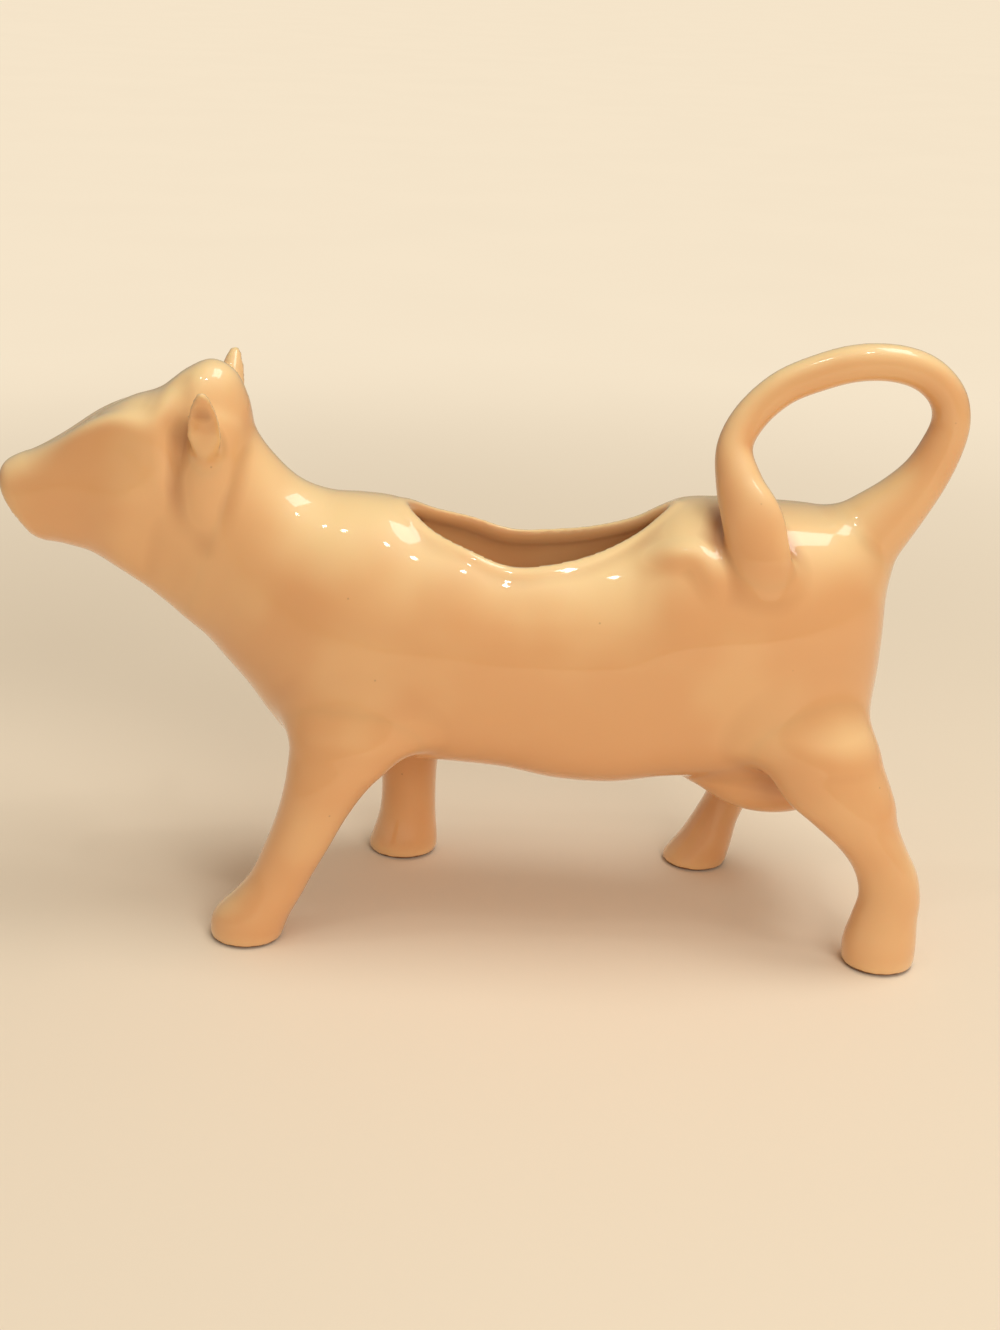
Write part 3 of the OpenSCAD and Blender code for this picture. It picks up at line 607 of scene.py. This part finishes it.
def half_cut(points, values, triangles):
    """Cuts triangles where the values at their points change sign.

    Returns the new points, and the triangles on the negative and on the positive side.
    """
    sign = np.sign(values)[triangles]
    low, high = (sign < 0).any(1), (sign > 0).any(1)
    whole_low, whole_high = triangles[low & ~high], triangles[~low]
    mixed, signs = triangles[low & high], sign[low & high]
    # Turn each mixed triangle until its first corner is on the cut, or else alone on its side
    zero = (signs == 0).any(1)
    other = ~zero
    lone = (signs == 0).argmax(1)
    lone[other] = (signs[other] == -np.sign(signs[other].sum(1))[:, None]).argmax(1)
    turn = (lone[:, None] + np.arange(3)) % 3
    mixed, signs = np.take_along_axis(mixed, turn, 1), np.take_along_axis(signs, turn, 1)
    a, b, c = mixed.T
    ends = np.sort(np.concatenate([np.stack([b, c], 1)[zero], np.stack([a, b], 1)[other],
                                   np.stack([a, c], 1)[other]]), 1)
    pairs, index = np.unique(ends, axis=0, return_inverse=True)
    index = index.ravel() + len(points)
    share = values[pairs[:, 0]] / (values[pairs[:, 0]] - values[pairs[:, 1]])
    m, ab, ac = np.split(index, [zero.sum(), len(zero)])
    cut = np.concatenate([np.stack([a[zero], b[zero], m], 1), np.stack([a[zero], m, c[zero]], 1),
                          np.stack([a[other], ab, ac], 1),
                          np.stack([ab, b[other], c[other]], 1),
                          np.stack([ab, c[other], ac], 1)])
    side = np.concatenate([signs[zero, 1], signs[zero, 2], signs[other, 0], signs[other, 1],
                           signs[other, 1]])
    fresh = mix(points[pairs[:, 0]], points[pairs[:, 1]], share[:, None])
    return (fresh, np.concatenate([whole_low, cut[side < 0]]),
            np.concatenate([whole_high, cut[side >= 0]]))


def model_cow(s):
    """The whole glazed skin: its grid, casting, points, normals, bend and triangles by piece."""
    clay = Clay(s.grit)
    casting = clay.distance(casting_solid(s))
    solids = {name: leg_solid(s, name) for name in LEGS}
    solids |= {"udder": udder_solid(s), "ear_left": ear_solid(s, -1),
               "ear_right": ear_solid(s, 1), "tail_handle": tail_solid(s)}
    grown = {name: clay.distance(solid) for name, solid in solids.items()}
    at = Places(s)
    x = (clay.low[0] + np.arange(clay.shape[0]))[:, None, None] * s.grit
    z = (clay.low[2] + np.arange(clay.shape[2])) * s.grit
    # The fillets of slip are wider up a thigh or a shoulder, and round the tail's root
    tail_reach = np.maximum(
        np.interp(x, [at.rump_x - 25 * MM, at.rump_x - 10 * MM], [1.6 * MM, 2.4 * MM]),
        np.interp(z, [at.back_z - 12 * MM, at.back_z - 2 * MM], [4.5 * MM, 1.5 * MM]))
    thigh = np.interp(z, [s.belly_z, s.belly_z + 12 * MM], [3.5 * MM, 7 * MM])
    shoulder = np.interp(z, [s.belly_z + 5 * MM, s.belly_z + 16 * MM], [4 * MM, 7 * MM])
    reaches = {"leg_rear_left": thigh, "leg_rear_right": thigh,
               "leg_front_left": shoulder, "leg_front_right": shoulder,
               "ear_left": 1.6 * MM, "ear_right": 1.6 * MM, "udder": 5 * MM,
               "tail_handle": tail_reach.astype(np.float32)}
    outside = casting
    for name, (way, _, reach, _) in STROKES.items():
        work = lute if way > 0 else carve
        for side in (-1, 1):
            outside = work(outside, clay.distance(stroke_solid(s, name, side)), reach * MM)
    for name, field in grown.items():
        outside = lute(outside, field, reaches[name])
    hollow = [clay.distance(solid) for solid in cavity_solids(s)]
    hollow[0] = np.maximum(hollow[0], outside + s.wall - WALL_LOSS)
    # Below the lip of the opening the inside walls drop straight down, and widen lower
    middle_x = at.slit_x + s.opening_l / 2
    below = np.minimum(z - throat_z(s), s.opening_l / 2 - END_SET - np.abs(x - middle_x))
    hollow[0] = np.maximum(hollow[0], np.minimum(hollow[-1] - LIP, below))
    rim = carve(hollow[-1] - s.rim_w, -(casting - s.rim_h), RIM_ROUND)
    outside = lute(outside, rim, RIM_ROUND)
    hollow = np.minimum.reduce(hollow)
    whole = sponge(carve(outside, hollow, LIP_ROUND))
    points, quads = clay.surface(whole)
    points = clay.onto(whole, points.astype(float))
    quads = quads.astype(np.int64)
    a, b, c, d = (points[quads[:, i]] for i in range(4))
    short = np.linalg.norm(a - c, axis=1) < np.linalg.norm(b - d, axis=1)
    triangles = np.concatenate([quads[short][:, [0, 1, 2]], quads[short][:, [0, 2, 3]],
                                quads[~short][:, [0, 1, 3]], quads[~short][:, [1, 2, 3]]])
    a, b, c = (points[triangles[:, i]] for i in range(3))
    if (np.cross(a, b) * c).sum() < 0:
        triangles = triangles[:, ::-1]

    # Cut each grown piece off where it takes over from the casting, on the outside only
    pieces = {}
    for name, field in grown.items():
        rest = np.minimum.reduce([casting] + [f for n, f in grown.items() if n != name])
        part = clay.read(field, points) - clay.read(rest, points)
        part = np.where(clay.read(hollow, points) < INNER_FACE, s.wall, part)
        part[np.abs(part) < ON_CUT * s.grit] = 0
        fresh, pieces[name], triangles = half_cut(points, part, triangles)
        points = np.concatenate([points, clay.onto(whole, fresh)])
    seam = casting_rows(s)[SEAM_ROW]
    ahead = ((seam[0] - seam[2]) * (points[:, 2] - seam[3])
             - (seam[1] - seam[3]) * (points[:, 0] - seam[2]))
    ahead = -ahead / np.hypot(seam[0] - seam[2], seam[1] - seam[3])
    ahead[np.abs(ahead) < ON_CUT * s.grit] = 0
    fresh, pieces["head"], pieces["body_shell"] = half_cut(points, ahead, triangles)
    points = np.concatenate([points, fresh])

    normals = unit(clay.slope(whole, points))
    # How sharply the skin bends outwards: run-off ridges are positive, creases negative
    soft, rim = sponge(outside, 4), sponge(whole, 4)
    bend_and_shade = clay.read(sponge(soft, 4), points) - clay.read(soft, points)
    edge = clay.read(sponge(rim, 4), points) - clay.read(rim, points)
    inside = np.clip(2 - clay.read(hollow, points) / MM, 0, 1)
    bend_and_shade = mix(bend_and_shade, np.maximum(edge - WALL_BEND, THIN_POUR), inside)
    # An ear has little thickness all over, so its hollow is told by the way it faces: painted
    # shade darkens the upper part of an ear where it faces down
    ear = np.minimum(clay.read(grown["ear_left"], points), clay.read(grown["ear_right"], points))
    off = np.clip(clay.read(casting, points) / (2 * MM), 0, 1)
    rise = EAR_LEAN_SHARE[2] / np.linalg.norm(EAR_LEAN_SHARE) * s.ear_l
    lobe = (points[:, 2] - s.chin_z - EAR_ROOT_SHARE[2] * s.head_h) / rise
    off *= np.clip((0.1 - normals[:, 2]) / 0.3, 0, 1) * np.clip((lobe - 0.45) / 0.25, 0, 1)
    bend_and_shade -= EAR_SHADE * np.clip(1 - ear / (0.6 * MM), 0, 1) * off
    # Painted shade: the lips round the pouring mouth, within 2 mm of the nose's front, are
    # darkened
    bend_and_shade -= MOUTH_SHADE * np.clip(1 - (points[:, 0] - at.nose_x) / (2 * MM), 0, 1)
    return clay, casting, points, normals, bend_and_shade, pieces


def loops_of(triangles):
    """Closed rows of points along the open edges of a piece."""
    edges = np.concatenate([triangles[:, [0, 1]], triangles[:, [1, 2]], triangles[:, [2, 0]]])
    key = np.sort(edges, 1)
    _, index, count = np.unique(key, axis=0, return_index=True, return_counts=True)
    after = {}
    for u, v in edges[index[count == 1]]:
        after.setdefault(int(v), []).append(int(u))
    loops = []
    while after:
        start = next(iter(after))
        loop, here = [], start
        while here in after:
            loop.append(here)
            follow = after[here]
            step = follow.pop()
            if not follow:
                del after[here]
            here = step
        loops.append(loop)
    return loops


def close_piece(clay, casting, points, triangles, flat):
    """Closes a piece's cuts: across the casting's skin, or flat round its hollow."""
    caps, fresh = [], []
    loops = [loop for loop in loops_of(triangles) if len(loop) > 2]
    count = len(points)
    if flat:
        ring = [[Vector(points[i]) for i in loop] for loop in flat]
        names = [i for loop in flat for i in loop]
        caps.append(np.array([[names[i] for i in t] for t in tessellate_polygon(ring)]))
        loops = [loop for loop in loops if loop not in flat]
    for loop in loops:
        edge = points[loop]
        level = clay.read(casting, edge)
        rings = [np.array(loop)]
        for share in (0.8, 0.6, 0.4, 0.2):
            inner = mix(edge.mean(0), edge, share)
            inner = clay.onto(casting, inner, level * share - JOINT_SINK * (1 - share))
            rings.append(count + np.arange(len(loop)))
            fresh.append(inner)
            count += len(loop)
        fresh.append(clay.onto(casting, edge.mean(0)[None], -JOINT_SINK))
        for a, b in zip(rings, rings[1:]):
            a2, b2 = np.roll(a, -1), np.roll(b, -1)
            caps += [np.stack([a, a2, b2], 1), np.stack([a, b2, b], 1)]
        last = rings[-1]
        caps.append(np.stack([last, np.roll(last, -1), np.full(len(last), count)], 1))
        count += 1
    return np.concatenate([points, *fresh]), np.concatenate(caps)


COW = {}


def cow_of(context):
    """The modelled cow, worked out once for the sizes in use."""
    s = context.scene.cow_sizes
    key = tuple(getattr(s, name) for name in s.__annotations__)
    if COW.get("key") != key:
        COW.update(key=key, model=model_cow(s))
    return COW["model"]


def make_piece(context, name):
    """One closed, smoothly shaded piece of the cow, in place of its CAD node."""
    clay, casting, points, normals, bend_and_shade, pieces = cow_of(context)
    if name not in pieces or not len(pieces[name]):
        raise RuntimeError(f"the clay has no {name}")
    triangles = pieces[name]
    flat = None
    if name in ("head", "body_shell"):
        loops = loops_of(triangles)
        seam = casting_rows(context.scene.cow_sizes)[SEAM_ROW]
        middle = np.array([(seam[0] + seam[2]) / 2, 0, (seam[1] + seam[3]) / 2])
        near = [np.linalg.norm(points[loop].mean(0) - middle) for loop in loops]
        order = np.argsort(near)[:2]
        flat = sorted((loops[i] for i in order), key=lambda loop: -np.ptp(points[loop][:, 1]))
    full, caps = close_piece(clay, casting, points, triangles, flat)
    used, index = np.unique(np.concatenate([triangles, caps]), return_inverse=True)
    index = index.reshape(-1, 3)
    mesh = bpy.data.meshes.new(name + "_glazed")
    mesh.from_pydata(full[used], [], index)
    # Glazed faces take the skin's own slope, and the hidden joint faces stay plain
    a, b, c = (full[caps[:, i]] for i in range(3))
    plain = np.cross(b - a, c - a)
    plain /= np.maximum(np.linalg.norm(plain, axis=1), 1e-12)[:, None]
    loop_normals = np.concatenate([normals[triangles].reshape(-1, 3), np.repeat(plain, 3, 0)])
    mesh.polygons.foreach_set("use_smooth", np.ones(len(index), bool))
    mesh.normals_split_custom_set(loop_normals)
    lie_and_shade = mesh.attributes.new("glaze_lie_and_shade", "FLOAT", "POINT")
    extra = np.concatenate([bend_and_shade, np.zeros(len(full) - len(points))])
    lie_and_shade.data.foreach_set("value", extra[used].astype(np.float32))
    mesh.update()
    piece = bpy.data.objects.new(name + "_glazed", mesh)
    context.scene.collection.objects.link(piece)
    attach(piece, "root")
    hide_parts(name)
    piece.data.materials.append(cream_glaze(context.scene.cow_colours))
    return piece


def add_node(tree, kind, settings=None, links=None):
    """Adds a node with its settings and input values or links to a material's tree."""
    node = tree.nodes.new("ShaderNode" + kind)
    for key, value in (settings or {}).items():
        setattr(node, key, value)
    for key, value in (links or {}).items():
        if isinstance(value, bpy.types.NodeSocket):
            tree.links.new(value, node.inputs[key])
        else:
            node.inputs[key].default_value = value
    return node


def new_material(name):
    material = bpy.data.materials.new(name)
    material.use_nodes = True
    material.node_tree.nodes.clear()
    return material, material.node_tree


def rgba(c):
    return (*c, 1.0)


def noise(tree, place, size, **more):
    """Clouds of noise that are about size across on the object."""
    return add_node(tree, "TexNoise", None, {"Vector": place.outputs["Object"],
                                             "Scale": 1 / size, **more}).outputs["Fac"]


def ramp(tree, value, low, high, to=(0.0, 1.0), kind="LINEAR"):
    """How far a value lies from low to high, told on the range of to."""
    node = add_node(tree, "MapRange", {"interpolation_type": kind},
                    {"Value": value, "From Min": low, "From Max": high,
                     "To Min": to[0], "To Max": to[1]})
    return node.outputs["Result"]


def blend(tree, share, a, b, kind="MIX"):
    """Colour a with a share of colour b over it."""
    return add_node(tree, "Mix", {"data_type": "RGBA", "blend_type": kind},
                    {"Factor": share, 6: a, 7: b}).outputs[2]


def math_node(tree, kind, *values):
    return add_node(tree, "Math", {"operation": kind}, dict(enumerate(values))).outputs[0]


def cream_glaze(colours):
    """Earthenware under a honey-cream lead glaze, dipped and fired to a full gloss."""
    name = "gloss_glazed_earthenware"
    if name in bpy.data.materials:
        return bpy.data.materials[name]
    material, tree = new_material(name)
    glaze, pale_glaze_and_top_light = rgba(colours.glaze), rgba(colours.pale_glaze_and_top_light)
    place = add_node(tree, "TexCoord")
    lie_and_shade = add_node(tree, "Attribute", {"attribute_name": "glaze_lie_and_shade"}).outputs["Fac"]
    height = add_node(tree, "SeparateXYZ", None, {"Vector": place.outputs["Object"]})

    # Clouds 30 mm across, where the coat of glaze is a little thicker or thinner
    cloud = noise(tree, place, 30 * MM, Detail=2.0)
    # Painted light: what faces up is paler, the edge of it broken by the clouds, and the flanks
    # keep the full glaze colour
    facing = add_node(tree, "SeparateXYZ", None, {"Vector": place.outputs["Normal"]})
    top_light_drift = math_node(tree, "MULTIPLY_ADD", cloud, 0.5, facing.outputs["Z"])
    painted_top_light = ramp(tree, top_light_drift, 0.5, 1.2, kind="SMOOTHSTEP")
    lighter = ramp(tree, cloud, 0.42, 0.62, (0.0, 0.2), "SMOOTHSTEP")
    coat = blend(tree, painted_top_light, blend(tree, lighter, glaze, pale_glaze_and_top_light), pale_glaze_and_top_light)
    # Molten glaze runs off ridges and rims, paler there; creases are darker, partly from glaze
    # pooling there and partly painted shade, and the same painted shade darkens the ears' hollows
    # and the mouth's lips
    gathered = ramp(tree, lie_and_shade, 0.005 * MM, -0.13 * MM, (0.0, 0.8))
    coat = blend(tree, gathered, coat, rgba(colours.pooled_glaze_and_shade))
    shed = ramp(tree, lie_and_shade, 0.1 * MM, 0.4 * MM, (0.0, 0.6))
    coat = blend(tree, shed, coat, pale_glaze_and_top_light)
    # Iron specks of 0.3 mm, about one in a square of 8 mm, drawn at their own size
    grain = add_node(tree, "TexVoronoi", None,
                     {"Vector": place.outputs["Object"], "Scale": 1 / (8 * MM)})
    speck = ramp(tree, grain.outputs["Distance"], 0.035, 0.015, (0.0, 0.35))
    coat = blend(tree, speck, coat, rgba(colours.clay))
    # The feet are wiped free of glaze so that they don't stick to the kiln shelf; the dark band
    # of clay there also stands in for painted contact shadow under them
    ragged = noise(tree, place, 3 * MM)
    wiped = math_node(tree, "MULTIPLY_ADD", ragged, -0.7 * MM, height.outputs["Z"])
    bare_foot_and_shadow = ramp(tree, wiped, 0.45 * MM, 0.25 * MM)
    coat = blend(tree, bare_foot_and_shadow, coat, rgba(colours.clay))
    # Slow waves 7 mm long in the molten glaze bend the reflections a little
    wave = noise(tree, place, 7 * MM, Detail=1.0)
    bump = add_node(tree, "Bump", None, {"Strength": 0.35, "Distance": 0.12 * MM, "Height": wave})
    skin = bump.outputs["Normal"]
    shader = add_node(tree, "BsdfPrincipled", None, {
        "Base Color": coat, "Roughness": ramp(tree, bare_foot_and_shadow, 0.0, 1.0, (0.38, 0.85)), "IOR": 1.5,
        "Subsurface Weight": 0.12, "Subsurface Radius": (1.0, 0.5, 0.25),
        "Subsurface Scale": 2 * MM, "Coat Weight": ramp(tree, bare_foot_and_shadow, 0.0, 1.0, (1.0, 0.0)),
        "Coat Roughness": 0.045, "Coat IOR": 1.55, "Normal": skin, "Coat Normal": skin})
    add_node(tree, "OutputMaterial", None, {"Surface": shader.outputs[0]})
    return material


def painted_board(colours):
    """Board under matt cream emulsion, rolled on: an even pale face with a faint stipple."""
    material, tree = new_material("matt_emulsion_board")
    place = add_node(tree, "TexCoord")
    # Roller stipple is about 1.5 mm from bump to bump
    stipple = noise(tree, place, 1.5 * MM)
    skin = add_node(tree, "Bump", None,
                    {"Strength": 0.15, "Distance": 0.05 * MM, "Height": stipple})
    patch = noise(tree, place, 120 * MM)
    shade = blend(tree, 0.03, rgba(colours.table), patch, "MULTIPLY")
    shader = add_node(tree, "BsdfPrincipled", None, {
        "Base Color": shade, "Roughness": 0.75, "Normal": skin.outputs["Normal"]})
    # Away from the object the camera sees the paint's own colour, evenly lit
    away = add_node(tree, "VectorMath", {"operation": "LENGTH"}, {0: place.outputs["Object"]})
    fade = ramp(tree, away.outputs["Value"], 0.16, 0.55, kind="SMOOTHSTEP")
    path = add_node(tree, "LightPath")
    far = math_node(tree, "MULTIPLY", fade, path.outputs["Is Camera Ray"])
    even = add_node(tree, "Emission", None, {"Color": shade})
    both = add_node(tree, "MixShader", None,
                    {0: far, 1: shader.outputs[0], 2: even.outputs[0]})
    add_node(tree, "OutputMaterial", None, {"Surface": both.outputs[0]})
    return material


# Lamps: place, width and depth in metres, power in watts, and whether the glaze mirrors the
# lamp. It mirrors a ceiling panel and two bulbs; the soft boxes only light.
LAMPS = {
    "soft_box": ((0.30, -0.10, 1.25), (0.90, 0.70), 4.6, False),
    "front_box": ((0.42, -0.95, 0.62), (0.60, 0.40), 4.5, False),
    "panel_light": ((0.38, 0.08, 1.05), (0.50, 0.30), 1.9, True),
    "bulb_left": ((-0.18, -0.15, 1.02), (0.05, 0.05), 0.22, True),
    "bulb_right": ((0.13, -0.27, 1.00), (0.05, 0.05), 0.22, True),
}
LAMP_AIM = Vector((0, 0, 0.07))
WORLD_LIGHT = 0.34
TABLE_REACH = 12.0
# The photo's camera: focal length and height of the frame in pixels, place in metres, tilt
# below the horizon and roll in degrees
FOCAL_PX, FRAME_PX, SENSOR_MM = 1900, 1330, 36.0
CAMERA_PLACE, CAMERA_TILT, CAMERA_ROLL = (0.00555, -0.3563, 0.1887), 21, 2.5


class PieceStep:
    """Shared by the steps that make pieces of the cow"""

    def execute(self, context):
        for name in self.pieces:
            make_piece(context, name)
        return {"FINISHED"}


class CREAMER_OT_body(PieceStep, bpy.types.Operator):
    """Cast the hollow body with its filling opening"""

    bl_idname = "creamer.body"
    bl_label = "Body"
    pieces = ["body_shell"]


class CREAMER_OT_head(PieceStep, bpy.types.Operator):
    """Cast the hollow head with its pouring mouth"""

    bl_idname = "creamer.head"
    bl_label = "Head"
    pieces = ["head"]


class CREAMER_OT_ears(PieceStep, bpy.types.Operator):
    """Model the two scooped ears"""

    bl_idname = "creamer.ears"
    bl_label = "Ears"
    pieces = ["ear_left", "ear_right"]


class CREAMER_OT_legs(PieceStep, bpy.types.Operator):
    """Model the four legs with their hooves"""

    bl_idname = "creamer.legs"
    bl_label = "Legs"
    pieces = LEGS


class CREAMER_OT_udder(PieceStep, bpy.types.Operator):
    """Model the udder"""

    bl_idname = "creamer.udder"
    bl_label = "Udder"
    pieces = ["udder"]


class CREAMER_OT_tail(PieceStep, bpy.types.Operator):
    """Model the looped tail that is the handle"""

    bl_idname = "creamer.tail"
    bl_label = "Tail handle"
    pieces = ["tail_handle"]


class CREAMER_OT_stage(bpy.types.Operator):
    """Set the table, the soft lamps and the camera"""

    bl_idname = "creamer.stage"
    bl_label = "Stage"

    def execute(self, context):
        colours = context.scene.cow_colours
        mesh = bpy.data.meshes.new("table")
        far = TABLE_REACH
        mesh.from_pydata([(-far, -far, 0), (far, -far, 0), (far, far, 0), (-far, far, 0)], [],
                         [(0, 1, 2, 3)])
        table = bpy.data.objects.new("table", mesh)
        mesh.materials.append(painted_board(colours))
        context.scene.collection.objects.link(table)

        world = bpy.data.worlds.new("studio")
        context.scene.world = world
        world.use_nodes = True
        back = world.node_tree.nodes["Background"]
        back.inputs["Color"].default_value = rgba(linear("FFF4E4"))
        back.inputs["Strength"].default_value = WORLD_LIGHT
        # Beyond the board's far edge the camera sees the board's own colour too
        sky = world.node_tree
        beyond = add_node(sky, "Background", None, {"Color": rgba(colours.table)})
        path = add_node(sky, "LightPath")
        both = add_node(sky, "MixShader", None,
                        {0: path.outputs["Is Camera Ray"], 1: back.outputs[0],
                         2: beyond.outputs[0]})
        sky.links.new(both.outputs[0], sky.nodes["World Output"].inputs["Surface"])

        for name, (place, size, power, mirrored) in LAMPS.items():
            light = bpy.data.lights.new(name, "AREA")
            light.shape, light.size, light.size_y, light.energy = "RECTANGLE", *size, power
            lamp = bpy.data.objects.new(name, light)
            lamp.location = place
            lamp.rotation_euler = (Vector(place) - LAMP_AIM).to_track_quat("Z", "Y").to_euler()
            lamp.visible_glossy = mirrored
            context.scene.collection.objects.link(lamp)

        camera = bpy.data.cameras.new("photo")
        camera.sensor_width, camera.lens = SENSOR_MM, FOCAL_PX * SENSOR_MM / FRAME_PX
        camera.clip_start, camera.clip_end = 0.01, 50
        item = bpy.data.objects.new("photo", camera)
        item.matrix_world = (Matrix.Translation(CAMERA_PLACE)
                             @ Matrix.Rotation(radians(90 - CAMERA_TILT), 4, "X")
                             @ Matrix.Rotation(radians(CAMERA_ROLL), 4, "Z"))
        context.scene.collection.objects.link(item)
        context.scene.camera = item
        context.scene.view_settings.view_transform = "Standard"
        return {"FINISHED"}


class CREAMER_PT_panel(bpy.types.Panel):
    """Steps and sizes of the cow creamer"""

    bl_idname = "CREAMER_PT_panel"
    bl_label = "Cow creamer"
    bl_space_type = "VIEW_3D"
    bl_region_type = "UI"
    bl_category = "Creamer"

    def draw(self, context):
        layout = self.layout
        for step in STEPS:
            layout.operator(step)
        for group in (context.scene.cow_sizes, context.scene.cow_colours):
            box = layout.box()
            for name in group.__annotations__:
                box.prop(group, name)


STEPS = ["creamer.body", "creamer.head", "creamer.ears", "creamer.legs", "creamer.udder",
         "creamer.tail", "creamer.stage"]
CLASSES = [CowSizes, CowColours, CREAMER_OT_body, CREAMER_OT_head, CREAMER_OT_ears,
           CREAMER_OT_legs, CREAMER_OT_udder, CREAMER_OT_tail, CREAMER_OT_stage,
           CREAMER_PT_panel]


def register():
    for item in CLASSES:
        bpy.utils.register_class(item)
    bpy.types.Scene.cow_sizes = PointerProperty(type=CowSizes)
    bpy.types.Scene.cow_colours = PointerProperty(type=CowColours)


def unregister():
    del bpy.types.Scene.cow_sizes
    del bpy.types.Scene.cow_colours
    for item in reversed(CLASSES):
        bpy.utils.unregister_class(item)


def main():
    register()
    for step in STEPS:
        group, name = step.split(".")
        getattr(getattr(bpy.ops, group), name)()


if __name__ == "__main__":
    main()
